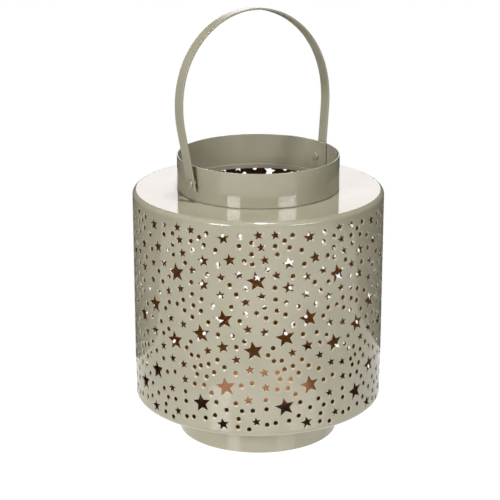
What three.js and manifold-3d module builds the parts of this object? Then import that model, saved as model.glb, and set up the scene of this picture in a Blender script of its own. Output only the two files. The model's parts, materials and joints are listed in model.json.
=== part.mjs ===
// Candle lantern: a round body of star-punched sheet with a flat shoulder, an open neck collar
// with a riveted strap handle, a closed floor and a ring foot.
// Millimetres, +Z up. The origin is on the body's axis, on the plane that the foot stands on.
// The handle turns about a line along X.

import * as THREE from 'three';
import { mergeVertices } from 'three/addons/utils/BufferGeometryUtils.js';
import Module from 'manifold-3d';

// Sheet and body
const SHEET = 0.8;
const BODY_DIAMETER = 180;
const BODY_HEIGHT = 155.4; // from the underside of the floor to the flat of the shoulder
const EDGE_ROUNDING = 3.5; // outer radius of the pressed edges of the shoulder and the floor
const WALL_LAP = 10; // width of the wall's lap seam
const WALL_SEAM_ANGLE = 90; // degrees from +X

// Foot ring
const FOOT_DIAMETER = 116;
const FOOT_HEIGHT = 26;

// Neck collar, standing on the shoulder
const COLLAR_DIAMETER = 116;
const COLLAR_HEIGHT = 25;
const UPSTAND_HEIGHT = 2.5; // lip of the shoulder inside the collar
const COLLAR_LAP_START = -11.5; // degrees from the right-hand rivet
const COLLAR_LAP_END = 8;

// Strap handle
const PIVOT_HEIGHT = 13.6; // rivets above the shoulder
const HANDLE_RISE = 114.6; // from the rivets to the top of the arch
const LEG_RISE = 36; // straight legs above the rivets
const LEG_SLOPE = 8.7; // degrees that the legs spread outwards
const LEG_PULL = 50; // how far the arch is drawn out along the legs' slope
const CROWN_PULL = 36; // how far the arch is drawn out flat to each side of its top
const CROWN_SHIFT = -2.7; // the bent strap's top lies this far off the middle, along X
const STRAP_WIDTH = 8;
const STRAP_THICKNESS = 1.4;
const STRAP_TAIL = 5.5; // strap end below the rivets
const HANDLE_LEAN = 4; // degrees from upright, towards +Y

// Rivets and the washers between strap and collar
const SHANK_DIAMETER = 3.8;
const HEAD_DIAMETER = 7.4;
const HEAD_HEIGHT = 1.8;
const WASHER_DIAMETER = 6;
const WASHER_THICKNESS = 2;
const HOLE_CLEARANCE = 0.3; // around a shank, and between the upstand and the collar
const SEAT_GAP = 0.15; // between washers, strap and rivet heads
const TAIL_GAP = 0.3; // between a rivet's flat tail and the round collar

// Star cut-outs, measured over a star's tips
const LARGE_STAR = 14.4;
const MEDIUM_STAR = 9.2;
const SMALL_STAR = 6.9;
const STAR_POINTS = 5;
const STAR_WAIST = 0.45; // inner corners' radius over the tips' radius
const STAR_TILT = 10; // degrees, anticlockwise as seen from outside
const PATTERN_PITCH = 59.6; // the pattern repeats along the sheet
const PATTERN_ANGLE = -130.9; // degrees from +X, where a repeat has its zero line
const PUNCH_MARGIN = 0.5; // least plain sheet beside a cut-out
const PUNCH_DEPTH = 6; // the punch's length, half of it inside the body

// One repeat of the pattern: places along the sheet and above the underside of the floor
const LARGE_STARS = [[-1, 114], [-24, 85.5], [19, 73], [-3, 64], [-22.5, 36.5], [19, 22]];
const MEDIUM_STARS = [[-24, 143.5], [-19.5, 128.5], [21, 126], [21, 109], [-24.5, 65.5], [-24.5, 8.5]];
const SMALL_STARS = [[0, 146.5], [12.5, 118], [-26, 103], [-7, 79.5], [24, 61.5], [4.5, 48], [-6.5, 27.5]];

// Faceting
const ROUND_SEGMENTS = 64;
const SMALL_SEGMENTS = 16;
const ARC_STEPS = 4;
const EDGE_STEPS = 2;
const ARCH_STEPS = 20;

const radians = THREE.MathUtils.degToRad;

// Heights and radii that follow
const bodyRadius = BODY_DIAMETER / 2;
const wallInside = bodyRadius - SHEET;
const shoulderTop = FOOT_HEIGHT + BODY_HEIGHT;
const wallBottom = FOOT_HEIGHT + EDGE_ROUNDING;
const wallTop = shoulderTop - EDGE_ROUNDING;
const collarRadius = COLLAR_DIAMETER / 2;
const collarInside = collarRadius - SHEET;
const collarRim = shoulderTop + COLLAR_HEIGHT;
const upstandTop = shoulderTop + UPSTAND_HEIGHT;
const pivotLevel = shoulderTop + PIVOT_HEIGHT;
const holeRadius = SHANK_DIAMETER / 2 + HOLE_CLEARANCE;
const washerInnerFace = collarRadius + SEAT_GAP;
const legSlope = radians(LEG_SLOPE);
const washerRoom = (WASHER_DIAMETER / 2) * Math.tan(legSlope); // the sloping strap's play over a washer
const headRoom = (HEAD_DIAMETER / 2) * Math.tan(legSlope); // and under a rivet's head
const halfStrap = STRAP_THICKNESS / 2 / Math.cos(legSlope); // measured along the rivets
const strapMiddle = washerInnerFace + WASHER_THICKNESS + SEAT_GAP + washerRoom + halfStrap;
const headSeat = strapMiddle + halfStrap + headRoom + SEAT_GAP;

const wasm = await Module();
wasm.setup();

// A solid from a closed geometry: corners merged, collapsed faces dropped
function solid(geometry) {
  const bare = geometry.clone();
  bare.deleteAttribute('normal');
  bare.deleteAttribute('uv');
  const merged = mergeVertices(bare);
  const corners = merged.index.array;
  const faces = [];
  for (let i = 0; i < corners.length; i += 3) {
    const [a, b, c] = corners.slice(i, i + 3);
    if (a !== b && b !== c && c !== a) {
      faces.push(a, b, c);
    }
  }
  const vertProperties = new Float32Array(merged.attributes.position.array);
  const triVerts = new Uint32Array(faces);
  return new wasm.Manifold(new wasm.Mesh({ numProp: 3, vertProperties, triVerts }));
}

// A named piece from a solid
function piece(name, body, material) {
  const { vertProperties, triVerts } = body.getMesh();
  const geometry = new THREE.BufferGeometry();
  geometry.setAttribute('position', new THREE.BufferAttribute(vertProperties, 3));
  geometry.setIndex(new THREE.BufferAttribute(triVerts, 1));
  geometry.computeVertexNormals();
  const mesh = new THREE.Mesh(geometry, material);
  mesh.name = name;
  return mesh;
}

// A profile of radius and height, turned about Z
function turned(profile) {
  return new THREE.LatheGeometry(profile, ROUND_SEGMENTS).rotateX(Math.PI / 2);
}

// A profile of radius and distance along X, turned about X
function turnedAlongX(profile) {
  return new THREE.LatheGeometry(profile, SMALL_SEGMENTS).rotateZ(-Math.PI / 2);
}

// The closed profile of a band from inside to outside radius and from bottom to top
function band(inside, outside, bottom, top) {
  const corners = [[outside, bottom], [outside, top], [inside, top], [inside, bottom], [outside, bottom]];
  return corners.map(([r, h]) => new THREE.Vector2(r, h));
}

// A second layer of sheet inside a rolled strip, between two angles in degrees
function lap(stripRadius, start, end, bottom, top) {
  const outside = stripRadius - SHEET / 2;
  const inside = stripRadius - 2 * SHEET;
  const shape = new THREE.Shape();
  shape.absarc(0, 0, outside, radians(start), radians(end), false);
  shape.absarc(0, 0, inside, radians(end), radians(start), true);
  const options = { depth: top - bottom, bevelEnabled: false, curveSegments: ARC_STEPS };
  return solid(new THREE.ExtrudeGeometry(shape, options).translate(0, 0, bottom));
}

// A round cutter along X, centred on a rivet's place
function pivotCutter(x, z, length) {
  const cutter = new THREE.CylinderGeometry(holeRadius, holeRadius, length, SMALL_SEGMENTS);
  return solid(cutter.rotateZ(Math.PI / 2).translate(x, 0, z));
}

// A star's corners about its own centre, tips and waist by turns
function starCorners(radius) {
  const corners = [];
  for (let i = 0; i < 2 * STAR_POINTS; i += 1) {
    const reach = i % 2 === 0 ? radius : radius * STAR_WAIST;
    const angle = radians(90 + STAR_TILT + (i * 180) / STAR_POINTS);
    corners.push(new THREE.Vector2(reach * Math.cos(angle), reach * Math.sin(angle)));
  }
  return corners;
}

// Cutters for every repeat of one size of star that the plain margins leave room for
function starCutters(size, places) {
  const corners = starCorners(size / 2);
  const heights = corners.map((corner) => corner.y);
  const lowest = wallBottom + PUNCH_MARGIN - Math.min(...heights);
  const highest = wallTop - PUNCH_MARGIN - Math.max(...heights);
  const options = { depth: PUNCH_DEPTH, bevelEnabled: false };
  const prism = new THREE.ExtrudeGeometry(new THREE.Shape(corners), options);
  prism.rotateX(Math.PI / 2).rotateZ(Math.PI / 2).translate(bodyRadius - PUNCH_DEPTH / 2, 0, 0);
  const halfSheet = Math.PI * bodyRadius;
  const halfBand = halfSheet - (WALL_LAP + size) / 2 - PUNCH_MARGIN;
  const bandMiddle = radians(WALL_SEAM_ANGLE - PATTERN_ANGLE) * bodyRadius - halfSheet;
  const repeats = Math.ceil(halfSheet / PATTERN_PITCH) + 1;
  const cutters = [];
  for (const [along, height] of places) {
    const level = FOOT_HEIGHT + height;
    for (let n = -repeats; n <= repeats; n += 1) {
      const place = along + n * PATTERN_PITCH;
      const fits = level >= lowest && level <= highest && Math.abs(place - bandMiddle) <= halfBand;
      if (fits) {
        const angle = radians(PATTERN_ANGLE) + place / bodyRadius;
        cutters.push(solid(prism.clone().rotateZ(angle).translate(0, 0, level)));
      }
    }
  }
  return cutters;
}

// Rolled wall: a band with a lap seam inside and the stars punched through
function bodyWall() {
  let wall = solid(turned(band(wallInside, bodyRadius, wallBottom, wallTop)));
  const halfLap = THREE.MathUtils.radToDeg(WALL_LAP / 2 / bodyRadius);
  const seam = [WALL_SEAM_ANGLE - halfLap, WALL_SEAM_ANGLE + halfLap];
  wall = wall.add(lap(bodyRadius, ...seam, wallBottom, wallTop));
  const cutters = [
    ...starCutters(LARGE_STAR, LARGE_STARS),
    ...starCutters(MEDIUM_STAR, MEDIUM_STARS),
    ...starCutters(SMALL_STAR, SMALL_STARS),
  ];
  return cutters.reduce((sheet, cutter) => sheet.subtract(cutter), wall);
}

// Shoulder: rounded edge on the wall, flat ring, upstand inside the collar
function shoulderCap() {
  const bend = bodyRadius - EDGE_ROUNDING;
  const lipOutside = collarInside - HOLE_CLEARANCE;
  const lipInside = lipOutside - SHEET;
  const outline = new THREE.Path();
  outline.moveTo(bodyRadius, wallTop);
  outline.absarc(bend, wallTop, EDGE_ROUNDING, 0, Math.PI / 2, false);
  outline.lineTo(lipOutside, shoulderTop);
  outline.lineTo(lipOutside, upstandTop);
  outline.lineTo(lipInside, upstandTop);
  outline.lineTo(lipInside, shoulderTop - SHEET);
  outline.absarc(bend, wallTop, EDGE_ROUNDING - SHEET, Math.PI / 2, 0, true);
  outline.lineTo(bodyRadius, wallTop);
  return solid(turned(outline.getPoints(EDGE_STEPS)));
}

// Collar: a rolled strip, its ends lapped above the upstand, with a hole for each rivet
function neckCollar() {
  const strip = solid(turned(band(collarInside, collarRadius, shoulderTop, collarRim)));
  const lapFoot = upstandTop + HOLE_CLEARANCE;
  const lapped = strip.add(lap(collarRadius, COLLAR_LAP_START, COLLAR_LAP_END, lapFoot, collarRim));
  const holes = pivotCutter(0, pivotLevel, BODY_DIAMETER);
  return lapped.subtract(holes);
}

// Floor: a pressed pan whose rounded edge carries the wall
function floorPan() {
  const bend = bodyRadius - EDGE_ROUNDING;
  const outline = new THREE.Path();
  outline.moveTo(0, FOOT_HEIGHT);
  outline.lineTo(bend, FOOT_HEIGHT);
  outline.absarc(bend, wallBottom, EDGE_ROUNDING, -Math.PI / 2, 0, false);
  outline.lineTo(wallInside, wallBottom);
  outline.absarc(bend, wallBottom, EDGE_ROUNDING - SHEET, 0, -Math.PI / 2, true);
  outline.lineTo(0, FOOT_HEIGHT + SHEET);
  return solid(turned(outline.getPoints(EDGE_STEPS)));
}

function footRing() {
  const radius = FOOT_DIAMETER / 2;
  return solid(turned(band(radius - SHEET, radius, 0, FOOT_HEIGHT)));
}

// The strap's middle line on the right, from its end to the top of the arch, about the pivot
function strapLine() {
  const spread = Math.tan(legSlope);
  const top = HANDLE_RISE - STRAP_THICKNESS / 2;
  const foot = new THREE.Vector2(strapMiddle - spread * STRAP_TAIL, -STRAP_TAIL);
  const legTop = new THREE.Vector2(strapMiddle + spread * LEG_RISE, LEG_RISE);
  const pull = new THREE.Vector2(Math.sin(legSlope), Math.cos(legSlope)).multiplyScalar(LEG_PULL);
  const arch = new THREE.CubicBezierCurve(
    legTop,
    legTop.clone().add(pull),
    new THREE.Vector2(CROWN_PULL, top),
    new THREE.Vector2(0, top),
  );
  return [foot, ...arch.getPoints(ARCH_STEPS)];
}

// A line set off sideways by a distance, to the right as it runs
function offsetLine(line, distance) {
  return line.map((point, i) => {
    const before = line[Math.max(i - 1, 0)];
    const after = line[Math.min(i + 1, line.length - 1)];
    const along = after.clone().sub(before).normalize();
    return new THREE.Vector2(point.x + along.y * distance, point.y - along.x * distance);
  });
}

// Strap: its arch outline, as wide as the strap, with a hole in each leg
function strapHandle() {
  const right = strapLine();
  const left = right.slice(0, -1).reverse().map((p) => new THREE.Vector2(-p.x, p.y));
  const line = [...right, ...left];
  for (const point of line) {
    const share = Math.max(point.y, 0) / HANDLE_RISE;
    point.x += CROWN_SHIFT * share ** 2;
  }
  const outer = offsetLine(line, STRAP_THICKNESS / 2);
  const inner = offsetLine(line, -STRAP_THICKNESS / 2);
  const shape = new THREE.Shape([...outer, ...inner.reverse()]);
  const strap = new THREE.ExtrudeGeometry(shape, { depth: STRAP_WIDTH, bevelEnabled: false });
  strap.rotateX(Math.PI / 2).translate(0, STRAP_WIDTH / 2, 0);
  return solid(strap).subtract(pivotCutter(0, 0, BODY_DIAMETER));
}

// Rivet along X: domed tail inside the collar, shank, domed head outside the strap
function rivet(tailSeat) {
  const shank = SHANK_DIAMETER / 2;
  const head = HEAD_DIAMETER / 2;
  const tailDome = new THREE.EllipseCurve(0, tailSeat, head, HEAD_HEIGHT, -Math.PI / 2, 0);
  const headDome = new THREE.EllipseCurve(0, headSeat, head, HEAD_HEIGHT, 0, Math.PI / 2);
  const profile = [
    ...tailDome.getPoints(ARC_STEPS),
    new THREE.Vector2(shank, tailSeat),
    new THREE.Vector2(shank, headSeat),
    ...headDome.getPoints(ARC_STEPS),
  ];
  profile[0].x = 0;
  profile[profile.length - 1].x = 0;
  return solid(turnedAlongX(profile));
}

function washer() {
  const outerFace = washerInnerFace + WASHER_THICKNESS;
  return solid(turnedAlongX(band(holeRadius, WASHER_DIAMETER / 2, washerInnerFace, outerFace)));
}

const sageLacquer = new THREE.MeshStandardMaterial({ color: 0xb0aa94, roughness: 0.3, metalness: 0.1 });
const rivetLacquer = new THREE.MeshStandardMaterial({ color: 0xb8b2a0, roughness: 0.25, metalness: 0.3 });

const lantern = new THREE.Group();
lantern.add(
  piece('body_wall', bodyWall(), sageLacquer),
  piece('shoulder_cap', shoulderCap(), sageLacquer),
  piece('neck_collar', neckCollar(), sageLacquer),
  piece('floor_pan', floorPan(), sageLacquer),
  piece('foot_ring', footRing(), sageLacquer),
);

// The rivets and washers lie on the pivot line; the right-hand tail closes on the collar's lap
const pivot = new THREE.Group();
pivot.position.z = pivotLevel;
const rightSide = new THREE.Group();
const leftSide = new THREE.Group();
leftSide.rotation.z = Math.PI;
rightSide.add(
  piece('rivet_right', rivet(collarInside - SHEET - TAIL_GAP), rivetLacquer),
  piece('washer_right', washer(), sageLacquer),
);
leftSide.add(
  piece('rivet_left', rivet(collarInside - TAIL_GAP), rivetLacquer),
  piece('washer_left', washer(), sageLacquer),
);
const handle = new THREE.Group();
handle.rotation.x = -radians(HANDLE_LEAN);
handle.add(piece('strap_handle', strapHandle(), sageLacquer));
pivot.add(rightSide, leftSide, handle);
lantern.add(pivot);

export default lantern;
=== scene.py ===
"""Candle lantern: a star-punched wall between a pressed shoulder and floor, with a rolled collar and foot
and a riveted strap handle.

Laid out as an add-on and run as a script. Metres, +Z up; every piece is made in its place in the frame.
"""

import json
import math

import bpy
import numpy as np
from bpy.props import FloatProperty, FloatVectorProperty, IntProperty, PointerProperty
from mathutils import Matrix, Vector


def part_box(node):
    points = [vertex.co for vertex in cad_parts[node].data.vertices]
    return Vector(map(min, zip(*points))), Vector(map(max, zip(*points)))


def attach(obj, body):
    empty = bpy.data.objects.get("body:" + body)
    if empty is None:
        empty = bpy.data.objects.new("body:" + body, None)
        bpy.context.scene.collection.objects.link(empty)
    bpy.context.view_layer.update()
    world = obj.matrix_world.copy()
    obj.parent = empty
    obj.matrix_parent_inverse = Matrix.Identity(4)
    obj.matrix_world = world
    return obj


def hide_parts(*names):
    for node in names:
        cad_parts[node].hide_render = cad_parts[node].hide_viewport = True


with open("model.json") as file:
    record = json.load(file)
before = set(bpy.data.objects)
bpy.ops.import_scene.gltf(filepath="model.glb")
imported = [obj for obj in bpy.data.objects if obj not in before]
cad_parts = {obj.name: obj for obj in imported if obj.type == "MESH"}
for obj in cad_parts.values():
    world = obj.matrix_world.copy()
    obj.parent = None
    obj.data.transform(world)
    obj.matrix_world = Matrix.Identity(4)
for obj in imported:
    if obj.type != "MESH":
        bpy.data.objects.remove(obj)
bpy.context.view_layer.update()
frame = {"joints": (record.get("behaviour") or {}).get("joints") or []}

bl_info = {
    "name": "Star-punched candle lantern",
    "version": (1, 0, 0),
    "blender": (4, 5, 0),
    "location": "View3D > Sidebar > Lantern",
    "description": "Makes the lantern's pieces, their finishes and a plain studio",
    "category": "Add Mesh",
}

MM = 0.001

# Sizes and places that the frame gives
BODY_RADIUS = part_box("body_wall")[1].x
WALL_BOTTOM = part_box("body_wall")[0].z
WALL_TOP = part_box("body_wall")[1].z
UPSTAND_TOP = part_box("shoulder_cap")[1].z
COLLAR_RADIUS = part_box("neck_collar")[1].x
COLLAR_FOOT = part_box("neck_collar")[0].z
COLLAR_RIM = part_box("neck_collar")[1].z
FLOOR_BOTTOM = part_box("floor_pan")[0].z
FOOT_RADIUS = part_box("foot_ring")[1].x
FOOT_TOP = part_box("foot_ring")[1].z
PIVOT = Vector(frame["joints"][0]["pos_m"])
WASHER_LOW, WASHER_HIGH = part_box("washer_right")

# One repeat of the punched pattern, in millimetres: places along the sheet and above the ground
LARGE_STARS = [(-1, 140), (-24, 111.5), (19, 99), (-3, 90), (-22.5, 62.5), (19, 48)]
MEDIUM_STARS = [(-24, 169.5), (-19.5, 154.5), (21, 152), (21, 135), (-24.5, 91.5), (-24.5, 34.5)]
SMALL_STARS = [
    (0, 172.5), (11.5, 172.5), (2, 164), (4.5, 155), (-13, 144.5), (12.5, 144), (-25.5, 141.5),
    (-26, 129), (2.5, 129), (-8.5, 125), (-7, 105.5), (4.5, 103.5), (24, 87.5), (-15, 83),
    (-5.5, 76), (4.5, 74), (5.5, 63), (-6.5, 53.5), (-1, 37.5),
]
DOTS = [
    (-12.5, 172), (-4.5, 167.5), (-13, 165), (-29.5, 161), (-4.5, 159.5), (11.5, 165), (13, 159),
    (18, 168.5), (23.5, 172), (21.5, 163.5), (-9.5, 154.5), (-4, 152.5), (-27.5, 151), (6.5, 148.5),
    (-19.5, 137), (-8.5, 135.5), (-15, 130.5), (24, 143), (11.5, 135.5), (12, 127), (19.5, 124.5),
    (-18.5, 121.5), (-31.5, 121), (4.5, 121.5), (13, 119), (-1, 117.5), (-8.5, 117), (19, 116),
    (5.5, 114), (-12.5, 111.5), (12, 110.5), (24.5, 108.5), (-28, 100.5), (-17.5, 100.5), (-9.5, 97),
    (-15, 92.5), (10.5, 92), (7, 87), (11, 82.5), (16.5, 82.5), (-28.5, 82), (-23.5, 77), (-15.5, 73.5),
    (-31, 72.5), (13.5, 74), (18.5, 76), (24.5, 78), (15.5, 69), (23, 68.5), (-11.5, 64.5), (-4, 66.5),
    (13.5, 61.5), (21, 62), (26.5, 57), (5.5, 54), (-15.5, 51), (-29.5, 50.5), (-22, 45.5), (-11, 45.5),
    (-3.5, 46), (6, 47), (-30.5, 40.5), (-13.5, 39.5), (6.5, 35.5), (12.5, 36.5), (22, 37.5),
    (-14, 33.5), (-6, 32),
]

# Kinds of hole, in the order of their numbers
KINDS = ["Large", "Medium", "Small", "Dot"]

# Small sizes that no user would change
UPSTAND_GAP = 0.3 * MM
WASHER_BREAK = 0.1 * MM
DRILL_RIM = 0.05 * MM
DRILL_DIP = 0.1 * MM
PUNCH_LEAD = 1 * MM
SURFACE_SLACK = 0.005 * MM

# Corners and steps of round shapes
PUNCH_RINGS = 4
STAR_CORNERS = 10
DOT_CORNERS = 12
DRILL_CORNERS = 24
RIVET_CORNERS = 32
RIVET_RINGS = 24
WASHER_CORNERS = 40
FILLET_STEPS = 3
RIM_STEPS = 4
OUTER_EDGE_STEPS = 12
INNER_EDGE_STEPS = 8
ARCH_STEPS = 72

# A mouth's run-in, as a power of the way that is left, and the share of its drop that the hole has too
MOUTH_RUN_IN = 0.25
HOLE_DROP = 0.5

# An edge that bends further than this is sharp
SHARP_EDGE = math.radians(35)

# How a face of rolled sheet lies to the round's outward direction, as a cosine
ROUND_FACING = math.cos(math.radians(2))
SURFACE_FACING = 0.2
MOUTH_FACING = 0.8
MOUTH_SPREAD = 0.18
INSIDE_FACING = -0.5
END_FACING = 0.8

# What a place keeps: its way out from the axis or its height, and the turn that lays Z along X
OUTWARD = (1, 1, 0)
UPWARD = (0, 0, 1)
ALONG_X = (0, math.pi / 2, 0)


def linear(hex_colour):
    """An sRGB hex colour as linear red, green, blue."""
    shares = [int(hex_colour[i:i + 2], 16) / 255 for i in (1, 3, 5)]
    return [s / 12.92 if s <= 0.04045 else ((s + 0.055) / 1.055) ** 2.4 for s in shares]


def length(name, description, default_mm):
    """A length property, given in millimetres."""
    return FloatProperty(
        name=name, description=description, default=default_mm * MM, unit="LENGTH", precision=5
    )


def angle(name, description, default_degrees):
    """An angle property, given in degrees."""
    return FloatProperty(
        name=name, description=description, default=math.radians(default_degrees), subtype="ANGLE"
    )


def colour(name, description, hex_colour):
    """A colour property, given as sRGB hex."""
    return FloatVectorProperty(
        name=name, description=description, default=linear(hex_colour), subtype="COLOR", min=0, max=1
    )


def level(name, description, default):
    """A property for the radiance of a light or a glowing surface."""
    return FloatProperty(name=name, description=description, default=default)


class SheetSizes(bpy.types.PropertyGroup):
    """The rolled and pressed sheet."""

    thickness: length("Thickness", "Thickness of every rolled or pressed sheet", 0.8)
    rounding: length("Edge rounding", "Outer radius of the shoulder's and the floor's edge", 3.5)
    rim_break: length("Rim break", "Rounding of a cut edge that shows", 0.3)
    seam_break: length("Seam break", "Rounding of a cut edge that is lacquered over", 0.06)
    collar_gap: length("Collar gap", "Dark gap under the collar, which is welded to the upstand", 0.6)
    joggle: length("Joggle", "Length in which a sheet steps under its own end", 4.5)
    wall_lap: length("Wall lap", "Width of the wall's lap seam", 10)
    foot_lap: length("Foot lap", "Width of the foot's lap seam", 8)
    wall_seam: angle("Wall seam", "Where the wall's lap lies", 90)
    collar_seam: angle("Collar seam", "Outer end of the collar's lap, from the right-hand rivet", 8)
    collar_lap: angle("Collar lap", "Angle that the collar's lap covers", 19.5)
    columns: IntProperty(name="Columns", description="Flat strips in a full round", default=144, min=24)


class PunchSizes(bpy.types.PropertyGroup):
    """The stars and dots punched through the wall."""

    large_star: length("Large star", "Over the tips", 14.4)
    medium_star: length("Medium star", "Over the tips", 9.2)
    small_star: length("Small star", "Over the tips", 6.9)
    dot: length("Dot", "Diameter of a round hole", 3.2)
    star_rim: length("Star rim", "Width of a star's drawn-in edge", 0.35)
    star_dip: length("Star dip", "Depth of a star's drawn-in edge", 0.2)
    dot_rim: length("Dot rim", "Width of a dot's drawn-in edge", 1.05)
    dot_dip: length("Dot dip", "Depth of a dot's drawn-in edge", 0.52)
    dot_drop: length("Dot drop", "How much lower a dot's mouth lies than its hole", 0.3)
    margin: length("Margin", "Least plain sheet beside a hole", 0.3)
    pitch: length("Pitch", "Length of sheet in which the pattern repeats", 59.6)
    waist: FloatProperty(
        name="Waist", description="A star's inner corners over its tips", default=0.45, subtype="FACTOR"
    )
    tilt: angle("Tilt", "Turn of the stars, anticlockwise from outside", 10)
    zero_line: angle("Zero line", "Where a repeat has its zero line", -130.9)


class StrapSizes(bpy.types.PropertyGroup):
    """The strap handle and what it turns on."""

    rise: length("Rise", "From the rivets to the top of the arch", 114.6)
    leg: length("Leg", "Straight legs above the rivets", 36)
    leg_pull: length("Leg pull", "How far the arch is drawn out along the legs", 50)
    crown_pull: length("Crown pull", "How far the arch is drawn out flat beside its top", 36)
    crown_shift: length("Crown shift", "The top's place off the middle", -2.7)
    width: length("Width", "Width of the strap", 8)
    thickness: length("Thickness", "Thickness of the strap", 1.4)
    edge_break: length("Edge break", "Rounding of the strap's long edges", 0.3)
    tail: length("Tail", "Strap end below the rivets", 5.5)
    seat_gap: length("Seat gap", "Least gap between a washer and the strap", 0.15)
    slope: angle("Slope", "Outward slope of the legs", 8.7)
    lean: angle("Lean", "The handle's lean from upright", 4)
    shank: length("Shank", "Diameter of the rivets' shanks", 3.8)
    head: length("Head", "Diameter of the rivets' heads", 6.2)
    head_height: length("Head height", "Height of the rivets' low domes", 0.8)
    tail_button: length("Tail button", "Diameter of the rivets' upset tails", 5.8)
    tail_height: length("Tail height", "Height of the tails, and of the frame's own heads", 1.8)
    drum: FloatProperty(
        name="Drum", description="Share of a tail's height below its dome", default=0.65, subtype="FACTOR"
    )
    spacer: length("Spacer", "Outer diameter of the spacers behind the strap", 5.2)
    hole: length("Hole", "Diameter of the holes for the shanks", 4.4)


class FinishColours(bpy.types.PropertyGroup):
    """Colours of the finishes."""

    sage: colour("Sage lacquer", "Outside of the body, collar, foot and handle", "#A09B86")
    sage_pale: colour("Pale sage", "Where the lacquer lies thinner", "#A8A38F")
    # The edge lacquer is paler than the sage as painted light: it brightens the lit lower lips of the holes
    # and evens out the shaded upper lips
    edge: colour("Edge lacquer", "Thin lacquer in the mouths of the holes", "#B1A78F")
    bronze: colour("Bronze lacquer", "Inside of the wall", "#BF8C42")
    # Besides random runs, the dark bronze is painted shade high on the wall's inside, where the lamps reach
    # less
    bronze_runs_and_shade: colour("Dark bronze", "Thicker runs of the bronze lacquer", "#5C4120")
    copper: colour("Copper lacquer", "Top of the floor", "#C69069")
    # Besides random runs, the dark copper is painted shade on the floor away from the axis, outside the
    # overhead lamp's pool of light
    copper_runs_and_shade: colour("Dark copper", "Thicker runs of the copper lacquer", "#6C4618")
    rivet: colour("Rivet lacquer", "Thin lacquer over the rivets' steel", "#B4AE9E")
    # Dark bare steel is painted shade: at the collar's cut ends for the dark line of its lap, and on the
    # spacers for the dark slit behind the strap
    steel: colour("Bare steel", "Cut ends of the collar, and the spacers", "#A5A196")
    table: colour("Table", "Studio floor", "#6D6C6B")


class StudioLevels(bpy.types.PropertyGroup):
    """Brightness of the studio, where 1 is paper white."""

    softbox: level("Softboxes", "Radiance of the two front softboxes", 20)
    overhead: level("Overhead", "Radiance of the overhead light", 426)
    backdrop: level("Backdrop", "Radiance of the panel behind", 2.4)
    room: level("Room", "Radiance of the room round it", 0.05)
    plate: level("Plate", "Radiance of the plate it stands on", 0.93)
    table: level("Table", "Radiance of the table round it", 0.88)


def feed(tree, node, links):
    """Gives a node's inputs a value, a socket, a node's first output, or a list of these."""
    for key, value in links.items():
        for one in value if isinstance(value, list) else [value]:
            if isinstance(one, bpy.types.Node):
                one = one.outputs[0]
            if isinstance(one, bpy.types.NodeSocket):
                tree.links.new(one, node.inputs[key])
            else:
                node.inputs[key].default_value = one
    return node


def add(tree, kind, links=None, **settings):
    """Adds a node with its settings, and feeds its inputs."""
    made = tree.nodes.new(kind)
    for name, value in settings.items():
        setattr(made, name, value)
    return feed(tree, made, links or {})


def calc(tree, operation, *values):
    """A Math node."""
    return add(tree, "ShaderNodeMath", dict(enumerate(values)), operation=operation)


def vector_calc(tree, operation, *values):
    """A Vector Math node."""
    return add(tree, "ShaderNodeVectorMath", dict(enumerate(values)), operation=operation)


def combine(tree, **parts):
    """A vector from its X, Y and Z, with 0 for what is left out."""
    return add(tree, "ShaderNodeCombineXYZ", parts)


def remap(tree, value, start, end, low=0.0, high=1.0, **settings):
    """A value between start and end, as one between low and high."""
    return add(tree, "ShaderNodeMapRange", {
        "Value": value, "From Min": start, "From Max": end, "To Min": low, "To Max": high,
    }, **settings)


def span(tree, low, high):
    """The length between two values, and their middle."""
    middle = calc(tree, "MULTIPLY", calc(tree, "ADD", high, low), 0.5)
    return calc(tree, "SUBTRACT", high, low), middle


def position(tree):
    """The X, Y and Z of each point."""
    return add(tree, "ShaderNodeSeparateXYZ", {0: add(tree, "GeometryNodeInputPosition")}).outputs


def placed(tree, shape, place=(0, 0, 0), turn=(0, 0, 0), scale=(1, 1, 1)):
    """A shape scaled, turned and moved."""
    return add(tree, "GeometryNodeTransform", {
        0: shape, "Translation": place, "Rotation": turn, "Scale": scale,
    })


def swept(tree, line, width, height, edge_break):
    """A rectangle with broken corners, swept along a line."""
    section = add(tree, "GeometryNodeCurvePrimitiveQuadrilateral", {"Width": width, "Height": height})
    section = add(tree, "GeometryNodeFilletCurve", {
        0: section, "Count": FILLET_STEPS, "Radius": edge_break,
    }, mode="POLY")
    return add(tree, "GeometryNodeCurveToMesh", {0: line, 1: section, "Fill Caps": True})


def new_tree(name, **inputs):
    """A geometry tree and its input sockets, whose names are listed under each kind of socket."""
    tree = bpy.data.node_groups.new(name, "GeometryNodeTree")
    tree.interface.new_socket("Geometry", in_out="OUTPUT", socket_type="NodeSocketGeometry")
    for kind, labels in inputs.items():
        for label in labels.split(", "):
            tree.interface.new_socket(label, in_out="INPUT", socket_type=f"NodeSocket{kind}")
    return tree, add(tree, "NodeGroupInput").outputs


def end_tree(tree, shape, *coats):
    """Ends a tree in Realize Instances and a Set Material for each coat of (material, selection)."""
    shape = add(tree, "GeometryNodeRealizeInstances", {0: shape})
    for material, selection in coats:
        shape = add(tree, "GeometryNodeSetMaterial", {
            0: shape, "Selection": selection, "Material": material,
        })
    add(tree, "NodeGroupOutput", {0: shape})
    return tree


def end_beside_collar(tree, shape, size):
    """Ends the tree of a shape along X from the pivot, turned to its side of the collar."""
    shape = placed(tree, shape, size["Pivot"], combine(tree, Z=size["Side"]))
    return end_tree(tree, shape, (size["Coat"], True))


def shown(name, data):
    """A new object in the scene."""
    made = bpy.data.objects.new(name, data)
    bpy.context.scene.collection.objects.link(made)
    return made


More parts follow.
